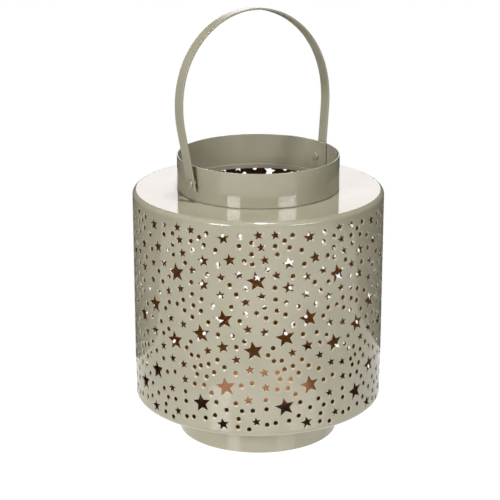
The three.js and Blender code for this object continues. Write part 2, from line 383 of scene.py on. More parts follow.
def grown(name, maker, start, values):
    """The plain mesh that a tree makes from a starting mesh; the tree is made when it is first asked for."""
    tree = bpy.data.node_groups.get(name) or maker()
    holder = shown("start", start)
    modifier = holder.modifiers.new("tree", "NODES")
    modifier.node_group = tree
    for item in tree.interface.items_tree:
        if item.in_out == "INPUT" and item.name in values:
            modifier[item.identifier] = values[item.name]
    graph = bpy.context.evaluated_depsgraph_get()
    made = bpy.data.meshes.new_from_object(
        holder.evaluated_get(graph), preserve_all_data_layers=True, depsgraph=graph
    )
    holder.modifiers.clear()
    bpy.data.objects.remove(holder)
    smooth(made)
    return made


def piece(name, mesh, body, slot, *nodes):
    """A finished piece that rides on a body and stands for CAD nodes."""
    made = shown(name, mesh)
    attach(made, body)
    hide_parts(*nodes)
    return made


def points(places, kinds):
    """A mesh of loose points with a kind on each."""
    mesh = bpy.data.meshes.new("places")
    mesh.from_pydata(places, [], [])
    kind = mesh.attributes.new("kind", "INT", "POINT")
    kind.data.foreach_set("value", kinds)
    return mesh


def punch_tree():
    """One punch along Y, its mouth flared where it enters the sheet's outer face at Y = 0."""
    tree, size = new_tree("punch", Int="Corners", Float="Tip, Flare, Waist, Tilt, Sheet, Dip, Drop")
    last = PUNCH_RINGS - 1
    blank = add(tree, "GeometryNodeMeshCylinder", {
        "Vertices": size["Corners"], "Side Segments": PUNCH_RINGS, "Radius": 1.0, "Depth": PUNCH_RINGS,
    }, fill_type="NGON")
    x, y, z = position(tree)
    # Rings count from 0 outside the sheet to the one behind it; the mouth is a cone with a short run-in
    ring = calc(tree, "SUBTRACT", PUNCH_RINGS / 2, z)
    rest = calc(tree, "SUBTRACT", 1.0, remap(tree, ring, 1, last))
    opening = calc(tree, "POWER", rest, MOUTH_RUN_IN)
    reach = calc(tree, "MULTIPLY_ADD", size["Flare"], opening, size["Tip"])
    parity = calc(tree, "MODULO", add(tree, "GeometryNodeInputIndex"), 2.0)
    radius = calc(tree, "MULTIPLY", reach, remap(tree, parity, 0, 1, 1, size["Waist"]))
    depth = calc(tree, "MULTIPLY", calc(tree, "SUBTRACT", 1.0, opening), size["Dip"])
    before = remap(tree, ring, 0, 1, -PUNCH_LEAD, 0)
    behind = remap(tree, ring, last, PUNCH_RINGS, 0, size["Sheet"])
    depth = calc(tree, "ADD", depth, calc(tree, "ADD", before, behind))
    # The mouth sits lower than the hole, so the lip below a hole is wider than the one above
    lower = calc(tree, "MULTIPLY", calc(tree, "ADD", opening, HOLE_DROP), size["Drop"])
    spot = combine(
        tree, X=calc(tree, "SUBTRACT", calc(tree, "MULTIPLY", x, radius), lower),
        Y=calc(tree, "MULTIPLY", y, radius), Z=calc(tree, "MULTIPLY", depth, -1.0),
    )
    shaped = add(tree, "GeometryNodeSetPosition", {0: blank, "Position": spot})
    lean = calc(tree, "SUBTRACT", -math.pi / 2, size["Tilt"])
    upright = placed(tree, shaped, turn=combine(tree, X=math.pi / 2, Y=lean))
    add(tree, "NodeGroupOutput", {0: upright})
    return tree


def strip_tree():
    """A flat strip, punched and then rolled round Z, with one end stepped in under the other.

    Along the strip, X is 0 where the outer end comes round to, negative on the lap beneath it.
    """
    tree, size = new_tree(
        "rolled_strip", Geometry="Places", Int="Columns, Repeats",
        Float="Radius, Sheet, Bottom, Top, Seam, Lap, Joggle, Edge Break, Pitch, First Repeat, Margin, "
        "Large Radius, Medium Radius, Small Radius, Dot Radius, Star Flare, Dot Flare, Star Dip, Dot Dip, "
        "Dot Drop, Waist, Tilt",
        Material="Outer Coat, Edge Coat, Inner Coat, End Coat",
    )
    # The strip, swept along X from a section with broken edges
    around = calc(tree, "MULTIPLY", size["Radius"], 2 * math.pi)
    under = calc(tree, "MULTIPLY", size["Lap"], -1.0)
    line = add(tree, "GeometryNodeCurvePrimitiveLine", {
        "Start": combine(tree, X=under), "End": combine(tree, X=around),
    })
    line = add(tree, "GeometryNodeResampleCurve", {0: line, "Count": size["Columns"]}, mode="COUNT")
    height = calc(tree, "SUBTRACT", size["Top"], size["Bottom"])
    strip = swept(tree, line, size["Sheet"], height, size["Edge Break"])
    half = calc(tree, "MULTIPLY", size["Sheet"], 0.5)
    middle = calc(tree, "MULTIPLY_ADD", height, 0.5, size["Bottom"])
    strip = placed(tree, strip, combine(tree, Y=half, Z=middle))
    # The places of every repeat, without those that come too near an edge or the lap
    rows = add(tree, "GeometryNodeMeshLine", {
        "Count": size["Repeats"], "Start Location": combine(tree, X=size["First Repeat"]),
        "Offset": combine(tree, X=size["Pitch"]),
    })
    spread = add(tree, "GeometryNodeInstanceOnPoints", {0: rows, "Instance": size["Places"]})
    spread = add(tree, "GeometryNodeRealizeInstances", {0: spread})
    kind = add(tree, "GeometryNodeInputNamedAttribute", {"Name": "kind"}, data_type="INT")
    reach = add(tree, "GeometryNodeIndexSwitch", data_type="FLOAT")
    for _ in KINDS[2:]:
        reach.index_switch_items.new()
    feed(tree, reach, {0: kind, **{i + 1: size[f"{label} Radius"] for i, label in enumerate(KINDS)}})
    clear = calc(tree, "ADD", reach, size["Margin"])
    x, y, z = position(tree)
    room = x
    for high, low in (
        (calc(tree, "SUBTRACT", around, size["Lap"]), x), (z, size["Bottom"]), (size["Top"], z),
    ):
        room = calc(tree, "MINIMUM", room, calc(tree, "SUBTRACT", high, low))
    tight = calc(tree, "LESS_THAN", room, clear)
    kept = add(tree, "GeometryNodeDeleteGeometry", {0: spread, "Selection": tight})
    # The punches, one kind at a time
    punch = punch_tree()
    punches = []
    for i, label in enumerate(KINDS):
        star = label != "Dot"
        cutter = add(tree, "GeometryNodeGroup", {
            "Corners": STAR_CORNERS if star else DOT_CORNERS,
            "Tip": size[f"{label} Radius"], "Sheet": size["Sheet"],
            "Flare": size["Star Flare" if star else "Dot Flare"],
            "Dip": size["Star Dip" if star else "Dot Dip"], "Drop": 0.0 if star else size["Dot Drop"],
            "Waist": size["Waist"] if star else 1.0, "Tilt": size["Tilt"] if star else 0.0,
        }, node_tree=punch)
        chosen = calc(tree, "COMPARE", kind, i, 0.1)
        punches.append(add(tree, "GeometryNodeInstanceOnPoints", {
            0: kept, "Selection": chosen, "Instance": cutter,
        }))
    cutters = add(tree, "GeometryNodeJoinGeometry", {0: punches})
    cutters = add(tree, "GeometryNodeRealizeInstances", {0: cutters})
    sheet = add(tree, "GeometryNodeMeshBoolean", {"Mesh 1": strip, "Mesh 2": cutters}, solver="MANIFOLD")
    # Rolled up: X becomes the angle, Y the depth, and the lap steps in by one sheet
    step = remap(tree, x, 0, size["Joggle"], size["Sheet"], 0, interpolation_type="SMOOTHSTEP")
    radius = calc(tree, "SUBTRACT", size["Radius"], calc(tree, "ADD", y, step))
    turn = calc(tree, "ADD", calc(tree, "DIVIDE", x, size["Radius"]), size["Seam"])
    rolled_spot = add(tree, "ShaderNodeVectorRotate", {
        "Vector": combine(tree, X=radius, Z=z), "Angle": turn,
    }, rotation_type="Z_AXIS")
    sheet = add(tree, "GeometryNodeSetPosition", {0: sheet, "Position": rolled_spot})
    # The edge coat goes into the mouths of the holes, the inner coat where the sheet faces the axis, and the
    # end coat where it faces along the strip; on the wall the edge coat is painted light on the lips, and on
    # the collar the end coat is painted shade
    spot = vector_calc(tree, "MULTIPLY", add(tree, "GeometryNodeInputPosition"), OUTWARD)
    outward = vector_calc(tree, "NORMALIZE", spot)
    sideways = vector_calc(tree, "CROSS_PRODUCT", UPWARD, outward)
    normal = add(tree, "GeometryNodeInputNormal")
    facing = vector_calc(tree, "DOT_PRODUCT", normal, outward).outputs["Value"]
    along = vector_calc(tree, "DOT_PRODUCT", normal, sideways).outputs["Value"]
    mouth = calc(tree, "COMPARE", facing, MOUTH_FACING, MOUTH_SPREAD)
    inside = calc(tree, "LESS_THAN", facing, INSIDE_FACING)
    at_end = calc(tree, "GREATER_THAN", calc(tree, "ABSOLUTE", along), END_FACING)
    return end_tree(
        tree, sheet, (size["Outer Coat"], True), (size["Edge Coat"], mouth), (size["Inner Coat"], inside),
        (size["End Coat"], at_end),
    )


def strap_tree():
    """A flat strap swept along its path, with a hole in each leg, leaning about the pivot."""
    tree, size = new_tree(
        "strap", Geometry="Path", Float="Width, Thickness, Edge Break, Hole, Lean", Vector="Pivot",
        Material="Coat",
    )
    line = add(tree, "GeometryNodeMeshToCurve", {0: size["Path"]})
    line = add(tree, "GeometryNodeSetCurveNormal", {0: line, "Normal": (0, 1, 0)}, mode="FREE")
    strap = swept(tree, line, size["Width"], size["Thickness"], size["Edge Break"])
    drill = add(tree, "GeometryNodeMeshCylinder", {
        "Vertices": DRILL_CORNERS, "Radius": calc(tree, "MULTIPLY", size["Hole"], 0.5), "Depth": 1.0,
    })
    drill = placed(tree, drill, turn=ALONG_X)
    strap = add(tree, "GeometryNodeMeshBoolean", {"Mesh 1": strap, "Mesh 2": drill}, solver="MANIFOLD")
    lean = combine(tree, X=calc(tree, "MULTIPLY", size["Lean"], -1.0))
    return end_tree(tree, placed(tree, strap, size["Pivot"], lean), (size["Coat"], True))


def rivet_tree():
    """A rivet along X from the pivot: button tail, shank and low head."""
    tree, size = new_tree(
        "rivet", Float="Head Radius, Head Height, Head Seat, Shank, Tail Radius, Tail Height, Tail Seat, "
        "Drum, Side", Vector="Pivot", Material="Coat",
    )
    # The tail is a drum with a flatter dome on it
    drum = calc(tree, "MULTIPLY", size["Tail Height"], size["Drum"])
    crown = calc(tree, "SUBTRACT", size["Tail Height"], drum)
    crown_seat = calc(tree, "SUBTRACT", size["Tail Seat"], drum)
    ball = add(tree, "GeometryNodeMeshUVSphere", {
        "Segments": RIVET_CORNERS, "Rings": RIVET_RINGS, "Radius": 1.0,
    })
    flat = vector_calc(tree, "MAXIMUM", add(tree, "GeometryNodeInputPosition"), (-1, -1, 0))
    dome = add(tree, "GeometryNodeSetPosition", {0: ball, "Position": flat})
    parts = []
    for seat, way, radius, height in (
        (size["Head Seat"], 1, size["Head Radius"], size["Head Height"]),
        (crown_seat, -1, size["Tail Radius"], crown),
    ):
        scale = combine(tree, X=radius, Y=radius, Z=height)
        parts.append(placed(tree, dome, combine(tree, X=seat), (0, way * math.pi / 2, 0), scale))
    shank = calc(tree, "MULTIPLY", size["Shank"], 0.5)
    for end, radius in ((size["Tail Seat"], size["Tail Radius"]), (size["Head Seat"], shank)):
        depth, middle = span(tree, crown_seat, end)
        rod = add(tree, "GeometryNodeMeshCylinder", {
            "Vertices": RIVET_CORNERS, "Radius": radius, "Depth": depth,
        })
        parts.append(placed(tree, rod, combine(tree, X=middle), ALONG_X))
    rivet = add(tree, "GeometryNodeMeshBoolean", {"Mesh 2": parts}, operation="UNION", solver="MANIFOLD")
    return end_beside_collar(tree, rivet, size)


def washer_tree():
    """A plain washer along X from the pivot."""
    tree, size = new_tree(
        "washer", Float="Radius, Hole, Inner Face, Outer Face, Edge Break, Side", Vector="Pivot",
        Material="Coat",
    )
    width, centre = span(tree, calc(tree, "MULTIPLY", size["Hole"], 0.5), size["Radius"])
    thick, middle = span(tree, size["Inner Face"], size["Outer Face"])
    ring = add(tree, "GeometryNodeCurvePrimitiveCircle", {"Resolution": WASHER_CORNERS, "Radius": centre})
    washer = swept(tree, ring, width, thick, size["Edge Break"])
    washer = placed(tree, washer, combine(tree, X=middle), ALONG_X)
    return end_beside_collar(tree, washer, size)


def smooth(mesh):
    """Smooth shading that breaks at sharp edges."""
    mesh.shade_smooth()
    mesh.set_sharp_from_angle(angle=SHARP_EDGE)


def even(made):
    """Lets the flats of a piece keep their own normals beside its bends."""
    made.modifiers.new("even_normals", "WEIGHTED_NORMAL").keep_sharp = True


def read(items, name, width, kind=float):
    """One value of many mesh items, in rows of this width."""
    values = np.empty(len(items) * width, kind)
    items.foreach_get(name, values)
    return values.reshape(-1, width)


def smooth_round(mesh, radius):
    """Rounder shading of a rolled sheet: its two faces take the round's own normals."""
    corners = read(mesh.loops, "vertex_index", 1, int)[:, 0]
    counts = read(mesh.polygons, "loop_total", 1, int)[:, 0]
    faces = np.repeat(read(mesh.polygons, "normal", 3), counts, axis=0)
    normals = read(mesh.corner_normals, "vector", 3)
    outward = read(mesh.vertices, "co", 3)[corners] * OUTWARD
    distance = np.linalg.norm(outward, axis=1)
    outward /= distance[:, None]
    facing = (faces * outward).sum(1)
    # Faces within 2 degrees of the round take its normals, and so do the corners of a mouth that lie on it
    at_surface = (distance > radius - SURFACE_SLACK) & (facing > SURFACE_FACING)
    outer = (facing > ROUND_FACING) | at_surface
    normals[outer] = outward[outer]
    inner = facing < -ROUND_FACING
    normals[inner] = -outward[inner]
    mesh.normals_split_custom_set(normals)


def turned(profile, segments):
    """A closed profile of (radius, height) turned about Z, as a mesh; a radius of 0 lies on the axis."""
    rings = []
    spots = []
    for radius, height in profile:
        count = segments if radius > 0 else 1
        ring = [len(spots) + i for i in range(count)]
        rings.append([ring[i % count] for i in range(segments)])
        for i in range(count):
            turn = 2 * math.pi * i / segments
            spots.append((radius * math.cos(turn), radius * math.sin(turn), height))
    faces = []
    closed = all(radius > 0 for radius, _ in profile)
    pairs = list(zip(rings, rings[1:] + rings[:1]))
    for low, high in pairs if closed else pairs[:-1]:
        for i in range(segments):
            j = (i + 1) % segments
            corners = [low[i], low[j], high[j], high[i]]
            face = [c for k, c in enumerate(corners) if c not in corners[:k]]
            if len(face) > 2:
                faces.append(face)
    mesh = bpy.data.meshes.new("turned")
    mesh.from_pydata(spots, [], faces)
    return mesh


def arc(centre, radius, start, end, steps):
    """Points of an arc in degrees, as (radius, height) pairs."""
    turns = [math.radians(start + (end - start) * i / steps) for i in range(steps + 1)]
    return [(centre[0] + radius * math.cos(t), centre[1] + radius * math.sin(t)) for t in turns]


def new_material(name):
    """An empty material, its tree and its shader."""
    material = bpy.data.materials.new(name)
    material.use_nodes = True
    tree = material.node_tree
    return material, tree, tree.nodes["Principled BSDF"]


def noise(tree, feature_mm, detail):
    """Noise on the object, with features about this many millimetres wide."""
    where = add(tree, "ShaderNodeTexCoord").outputs["Object"]
    scale = 1 / (feature_mm * MM)
    return add(tree, "ShaderNodeTexNoise", {"Vector": where, "Scale": scale, "Detail": detail})


def mixed(tree, share, low, high):
    """A colour between two."""
    return add(tree, "ShaderNodeMix", {
        "Factor": share, "A": (*low, 1), "B": (*high, 1),
    }, data_type="RGBA").outputs["Result"]


def bumped(tree, height, strength, depth_mm):
    """A normal that follows a height."""
    return add(tree, "ShaderNodeBump", {"Height": height, "Strength": strength, "Distance": depth_mm * MM})


def sage_lacquer(name, deep, pale, roughness, ripple):
    """Stoved sage-grey lacquer on rolled steel.

    It gives the eye an even warm grey-green with a glassy top, faintly rippled like orange peel.
    """
    material, tree, shader = new_material(name)
    cloud = remap(tree, noise(tree, 35, 3), 0.35, 0.65)
    feed(tree, shader, {
        "Base Color": mixed(tree, cloud, deep, pale),
        "Roughness": remap(tree, noise(tree, 9, 2), 0.3, 0.7, roughness - 0.03, roughness + 0.03),
        "Normal": bumped(tree, noise(tree, 2.2, 1), ripple, 0.03),
        "IOR": 1.55,
    })
    return material


def lining_lacquer(name, light, dark, along, shade_stretch, shine):
    """Sprayed copper or bronze lacquer on the inside of the sheet.

    It gives the eye a warm golden brown, nearly matte, with a fine grain of flakes and random darker runs.
    It is also painted darker over a stretch of the way that along picks out: painted shade where the lamps
    reach less.
    """
    material, tree, shader = new_material(name)
    runs = remap(tree, noise(tree, 18, 4), 0.3, 0.7, 0, 0.2)
    where = add(tree, "ShaderNodeTexCoord").outputs["Object"]
    way = vector_calc(tree, "LENGTH", vector_calc(tree, "MULTIPLY", where, along)).outputs["Value"]
    # Painted shade: darker over the given stretch, where the lamps reach less
    edge = remap(tree, way, *shade_stretch, interpolation_type="SMOOTHSTEP")
    flake = noise(tree, 0.8, 1)
    feed(tree, shader, {
        "Base Color": mixed(tree, calc(tree, "MAXIMUM", runs, edge), light, dark),
        "Roughness": remap(tree, flake, 0.3, 0.7, 0.5, 0.65),
        "Normal": bumped(tree, flake, 0.3, 0.02),
        "Metallic": 0.05,
        "Specular IOR Level": shine,
    })
    return material


def rivet_lacquer(name, deep, pale):
    """Thin lacquer over a domed steel rivet.

    It gives the eye a paler, brighter spot than the sheet, worn in small patches.
    """
    material, tree, shader = new_material(name)
    cloud = noise(tree, 2.5, 2)
    feed(tree, shader, {
        "Base Color": mixed(tree, cloud, deep, pale),
        "Normal": bumped(tree, cloud, 0.25, 0.05),
        "Metallic": 0.15,
        "Roughness": 0.18,
    })
    return material


def dark_shade_steel(name, tone):
    """Rolled steel without lacquer, dark, put as painted shade at the collar's cut ends and on the spacers.

    It gives the eye a dark, plain metal that only shines where it turns to a lamp.
    """
    material, tree, shader = new_material(name)
    feed(tree, shader, {
        "Base Color": (*tone, 1),
        "Roughness": remap(tree, noise(tree, 0.7, 2), 0.3, 0.7, 0.24, 0.36),
        "Metallic": 1.0,
    })
    return material


# Where painted shade darkens the linings: above the ground on the wall, and from the axis on the floor,
# where the lamps reach less
WALL_PAINTED_SHADE = (135 * MM, 165 * MM)
FLOOR_PAINTED_SHADE = (31 * MM, 46 * MM)


def coat(name):
    """A finish by name, made when it is first asked for."""
    if name in bpy.data.materials:
        return bpy.data.materials[name]
    tones = bpy.context.scene.lantern_colours
    # Sage lacquers end in their roughness and ripple, linings in their shine
    finishes = {
        "sage_stove_lacquer": (sage_lacquer, tones.sage, tones.sage_pale, 0.08, 0.35),
        "sage_strap_lacquer": (sage_lacquer, tones.sage, tones.sage_pale, 0.3, 0.1),
        # The paler mouth lacquer is painted light on the lit lower lips, and evens out the shaded upper lips
        "sage_edge_lacquer": (sage_lacquer, tones.edge, tones.edge, 0.25, 0.2),
        "bronze_lining_lacquer": (
            lining_lacquer, tones.bronze, tones.bronze_runs_and_shade, UPWARD, WALL_PAINTED_SHADE, 0.5
        ),
        "copper_lining_lacquer": (
            lining_lacquer, tones.copper, tones.copper_runs_and_shade, OUTWARD, FLOOR_PAINTED_SHADE, 0.15
        ),
        "lacquered_rivet_steel": (rivet_lacquer, tones.sage, tones.rivet),
        "bare_rolled_steel": (dark_shade_steel, tones.steel),
    }
    maker, *values = finishes[name]
    return maker(name, *values)


def rolled(places, kinds, values, inner_coat):
    """The mesh of a rolled strip with the sheet's own sizes and these values."""
    sheet = bpy.context.scene.lantern_sheet
    sage = coat("sage_stove_lacquer")
    mesh = grown("rolled_strip", strip_tree, points(places, kinds), {
        "Sheet": sheet.thickness, "Joggle": sheet.joggle, "Edge Break": sheet.rim_break,
        "Columns": sheet.columns, "Pitch": 0.0, "First Repeat": 0.0, "Repeats": 1,
        "Outer Coat": sage, "Edge Coat": sage, "Inner Coat": coat(inner_coat), "End Coat": sage, **values,
    })
    smooth_round(mesh, values["Radius"])
    return mesh


class LANTERN_OT_wall(bpy.types.Operator):
    """Rolls the wall from a strip punched with stars and dots"""

    bl_idname = "lantern.wall"
    bl_label = "Punched wall"

    def execute(self, context):
        sheet = context.scene.lantern_sheet
        punch = context.scene.lantern_punch
        groups = [LARGE_STARS, MEDIUM_STARS, SMALL_STARS, DOTS]
        places = [(x * MM, 0, z * MM) for group in groups for x, z in group]
        kinds = [kind for kind, group in enumerate(groups) for _ in group]
        seam = sheet.wall_seam + sheet.wall_lap / 2 / BODY_RADIUS
        around = 2 * math.pi * BODY_RADIUS
        zero = (punch.zero_line - seam) % (2 * math.pi) * BODY_RADIUS
        before = math.ceil(zero / punch.pitch) + 1
        # A star's edge lies nearer its middle than its tips, so the tips flare further than the edge
        fifth = math.pi / 5
        edge = math.hypot(1 - punch.waist * math.cos(fifth), punch.waist * math.sin(fifth))
        mesh = rolled(places, kinds, {
            "Radius": BODY_RADIUS, "Bottom": WALL_BOTTOM, "Top": WALL_TOP, "Seam": seam,
            "Lap": sheet.wall_lap, "Edge Break": sheet.seam_break, "Pitch": punch.pitch,
            "First Repeat": zero - before * punch.pitch,
            "Repeats": before + math.ceil((around - zero) / punch.pitch) + 1, "Margin": punch.margin,
            "Large Radius": punch.large_star / 2, "Medium Radius": punch.medium_star / 2,
            "Small Radius": punch.small_star / 2, "Dot Radius": punch.dot / 2,
            "Star Flare": punch.star_rim * edge / (punch.waist * math.sin(fifth)),
            "Star Dip": punch.star_dip, "Waist": punch.waist, "Tilt": punch.tilt,
            "Dot Flare": punch.dot_rim, "Dot Dip": punch.dot_dip, "Dot Drop": punch.dot_drop,
            # The paler mouth lacquer is painted light: it brightens the lit lower lips of the dots and evens
            # out the shaded upper ones
            "Edge Coat": coat("sage_edge_lacquer"),
        }, "bronze_lining_lacquer")
        piece("punched_wall", mesh, "lantern_body", "punched_sheet", "body_wall")
        return {"FINISHED"}


class LANTERN_OT_collar(bpy.types.Operator):
    """Rolls the neck collar, drilled for the rivets through its lap and opposite it"""

    bl_idname = "lantern.collar"
    bl_label = "Neck collar"

    def execute(self, context):
        sheet = context.scene.lantern_sheet
        strap = context.scene.lantern_strap
        around = 2 * math.pi * COLLAR_RADIUS
        turns = [-sheet.collar_seam + half * math.pi for half in range(3)]
        places = [(turn * COLLAR_RADIUS, 0, PIVOT.z) for turn in turns]
        # The margin is so far below zero that no hole is left out, not even in the lap
        mesh = rolled(places, [KINDS.index("Dot")] * len(places), {
            "Radius": COLLAR_RADIUS, "Bottom": COLLAR_FOOT + sheet.collar_gap, "Top": COLLAR_RIM,
            "Seam": sheet.collar_seam, "Lap": sheet.collar_lap * COLLAR_RADIUS, "Margin": -around,
            "Dot Radius": strap.hole / 2, "Dot Flare": DRILL_RIM, "Dot Dip": DRILL_DIP,
            # Dark steel on the cut ends is painted shade: it draws the dark line where the lap steps inside
            # the collar
            "End Coat": coat("bare_rolled_steel"),
        }, "sage_stove_lacquer")
        piece("rolled_collar", mesh, "lantern_body", "lacquered_sheet", "neck_collar")
        return {"FINISHED"}


class LANTERN_OT_foot(bpy.types.Operator):
    """Rolls the foot ring"""

    bl_idname = "lantern.foot"
    bl_label = "Foot ring"

    def execute(self, context):
        sheet = context.scene.lantern_sheet
        mesh = rolled([], [], {
            "Radius": FOOT_RADIUS, "Bottom": 0.0, "Top": FOOT_TOP, "Lap": sheet.foot_lap,
            "Seam": sheet.wall_seam + sheet.foot_lap / 2 / FOOT_RADIUS,
        }, "sage_stove_lacquer")
        piece("rolled_foot", mesh, "lantern_body", "lacquered_sheet", "foot_ring")
        return {"FINISHED"}


class LANTERN_OT_shoulder(bpy.types.Operator):
    """Presses the shoulder: rounded edge, flat ring and an upstand inside the collar"""

    bl_idname = "lantern.shoulder"
    bl_label = "Shoulder"

    def execute(self, context):
        sheet = context.scene.lantern_sheet
        bend = BODY_RADIUS - sheet.rounding
        flat = WALL_TOP + sheet.rounding
        lip = COLLAR_RADIUS - sheet.thickness - UPSTAND_GAP
        inside = lip - sheet.thickness
        ease = sheet.rim_break
        profile = [
            *arc((bend, WALL_TOP), sheet.rounding, 0, 90, OUTER_EDGE_STEPS),
            *arc((lip + ease, flat + ease), ease, 270, 180, FILLET_STEPS),
            *arc((lip - ease, UPSTAND_TOP - ease), ease, 0, 90, RIM_STEPS),
            *arc((inside + ease, UPSTAND_TOP - ease), ease, 90, 180, RIM_STEPS),
            (inside, flat - sheet.thickness),
            *arc((bend, WALL_TOP), sheet.rounding - sheet.thickness, 90, 0, INNER_EDGE_STEPS),
        ]
        mesh = turned(profile, 2 * sheet.columns)
        mesh.materials.append(coat("sage_stove_lacquer"))
        smooth(mesh)
        even(piece("pressed_shoulder", mesh, "lantern_body", "lacquered_sheet", "shoulder_cap"))
        return {"FINISHED"}


class LANTERN_OT_floor(bpy.types.Operator):
    """Presses the floor pan, coated with copper on top"""

    bl_idname = "lantern.floor"
    bl_label = "Floor pan"

    def execute(self, context):
        sheet = context.scene.lantern_sheet
        segments = 2 * sheet.columns
        bend = (BODY_RADIUS - sheet.rounding, WALL_BOTTOM)
        under = [(0, FLOOR_BOTTOM), *arc(bend, sheet.rounding, 270, 360, OUTER_EDGE_STEPS)]
        top = arc(bend, sheet.rounding - sheet.thickness, 360, 270, INNER_EDGE_STEPS)
        mesh = turned([*under, *top, (0, FLOOR_BOTTOM + sheet.thickness)], segments)
        mesh.materials.append(coat("sage_stove_lacquer"))
        mesh.materials.append(coat("copper_lining_lacquer"))
        lined = len(under) * segments
        for i, face in enumerate(mesh.polygons):
            face.material_index = int(i >= lined)
        smooth(mesh)
        even(piece("pressed_floor", mesh, "lantern_body", "lined_floor", "floor_pan"))
        return {"FINISHED"}


def strap_path(strap):
    """The strap's middle line about the pivot: straight legs that spread, and a smooth arch over them."""
    spread = math.tan(strap.slope)
    room = WASHER_HIGH.y * spread
    middle = WASHER_HIGH.x + strap.seat_gap + room + strap.thickness / 2 / math.cos(strap.slope)
    foot = (middle - spread * strap.tail, -strap.tail)
    leg_top = (middle + spread * strap.leg, strap.leg)
    top = strap.rise - strap.thickness / 2
    drawn = (
        leg_top[0] + strap.leg_pull * math.sin(strap.slope),
        leg_top[1] + strap.leg_pull * math.cos(strap.slope),
    )
    corners = [leg_top, drawn, (strap.crown_pull, top), (0, top)]
    side = [foot]
    for i in range(ARCH_STEPS + 1):
        t = i / ARCH_STEPS
        weights = [(1 - t) ** 3, 3 * t * (1 - t) ** 2, 3 * t * t * (1 - t), t ** 3]
        side.append(tuple(sum(w * c[axis] for w, c in zip(weights, corners)) for axis in (0, 1)))
    line = side + [(-x, z) for x, z in reversed(side[:-1])]
    return [(x + strap.crown_shift * (max(z, 0) / strap.rise) ** 2, 0, z) for x, z in line]


class LANTERN_OT_strap(bpy.types.Operator):
    """Bends the strap handle along its arch"""

    bl_idname = "lantern.strap"
    bl_label = "Strap handle"

    def execute(self, context):
        strap = context.scene.lantern_strap
        path = strap_path(strap)
        start = bpy.data.meshes.new("path")
        start.from_pydata(path, [(i, i + 1) for i in range(len(path) - 1)], [])
        mesh = grown("strap", strap_tree, start, {
            "Width": strap.width, "Thickness": strap.thickness, "Edge Break": strap.edge_break,
            "Hole": strap.hole, "Lean": strap.lean, "Pivot": PIVOT, "Coat": coat("sage_strap_lacquer"),
        })
        even(piece("bent_strap", mesh, "handle", "lacquered_strap", "strap_handle"))
        return {"FINISHED"}


class LANTERN_OT_rivets(bpy.types.Operator):
    """Sets a rivet and a washer on each side of the collar"""

    bl_idname = "lantern.rivets"
    bl_label = "Rivets and washers"

    def execute(self, context):
        strap = context.scene.lantern_strap
        for side, turn in (("right", 0.0), ("left", math.pi)):
            low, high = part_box(f"rivet_{side}")
            near, far = sorted((abs(low.x), abs(high.x)))
            mesh = grown("rivet", rivet_tree, bpy.data.meshes.new("empty"), {
                "Head Radius": strap.head / 2, "Head Height": strap.head_height,
                "Head Seat": far - strap.tail_height, "Shank": strap.shank,
                "Tail Radius": strap.tail_button / 2, "Tail Height": strap.tail_height,
                "Tail Seat": near + strap.tail_height, "Drum": strap.drum,
                "Side": turn, "Pivot": PIVOT, "Coat": coat("lacquered_rivet_steel"),
            })
            piece(f"domed_rivet_{side}", mesh, "lantern_body", "lacquered_rivet", f"rivet_{side}")
            mesh = grown("washer", washer_tree, bpy.data.meshes.new("empty"), {
                "Radius": strap.spacer / 2, "Hole": strap.hole, "Edge Break": WASHER_BREAK,
                "Inner Face": WASHER_LOW.x, "Outer Face": WASHER_HIGH.x,
                # Dark steel on the spacers is painted shade: it darkens the slit between the strap and the
                # collar
                "Side": turn, "Pivot": PIVOT, "Coat": coat("bare_rolled_steel"),
            })
            piece(f"plain_washer_{side}", mesh, "lantern_body", "lacquered_rivet", f"washer_{side}")
        return {"FINISHED"}


# The photograph's camera, about the pattern's zero line
CAMERA_AZIMUTH = math.radians(-130.9)
CAMERA_DISTANCE = 1.1856
CAMERA_HEIGHT = 0.5095
CAMERA_PITCH = math.radians(17.574)
CAMERA_YAW = math.radians(-0.286)
CAMERA_LENS = 123.54
CAMERA_SENSOR = 36

# Lights round the lantern's middle: degrees to the camera's right, width and height in metres
STUDIO_MIDDLE = Vector((0, 0, 0.13))
PANEL_ELEVATION = math.radians(18)
SOFTBOX_DISTANCE = 1.5
SOFTBOXES = [("left", -34, 0.46, 0.43), ("right", 41, 0.66, 0.136)]
BACKDROP_DISTANCE = 2.0
BACKDROP_SIZE = (1.0, 0.9)
BACKDROP_TINT = (0.99, 0.95, 1)
OVERHEAD_HEIGHT = 1.6
OVERHEAD_SIZE = (0.2, 0.06)
OVERHEAD_FORWARD = 0.27
OVERHEAD_RIGHT = 0.06

# The plate, the table and the cove
PLATE_RADIUS = 0.2
PLATE_FORWARD = 0.05
PLATE_ROUGHNESS = 0.22
TABLE_SIDE = 0.62
TABLE_BACK = 0.02
TABLE_FRONT = -0.93
TABLE_DROP = 0.5 * MM
TABLE_BOW_CENTRE = (0.04, -0.3)
TABLE_BOW_RADIUS = 0.46
TABLE_BOW_TURNS = (44, 136)
TABLE_BOW_STEPS = 12
COVE_RADIUS = 12
COVE_HEIGHT = 8
COVE_BEND = 2
COVE_BEND_STEPS = 6
COVE_DROP = 1 * MM
PLATE_SEGMENTS = 96
COVE_SEGMENTS = 64


def in_front(forward, right, height):
    """A place so far towards the camera and to its right."""
    ahead = Vector((math.cos(CAMERA_AZIMUTH), math.sin(CAMERA_AZIMUTH), 0))
    aside = Vector((-ahead.y, ahead.x, 0))
    return forward * ahead + right * aside + Vector((0, 0, height))


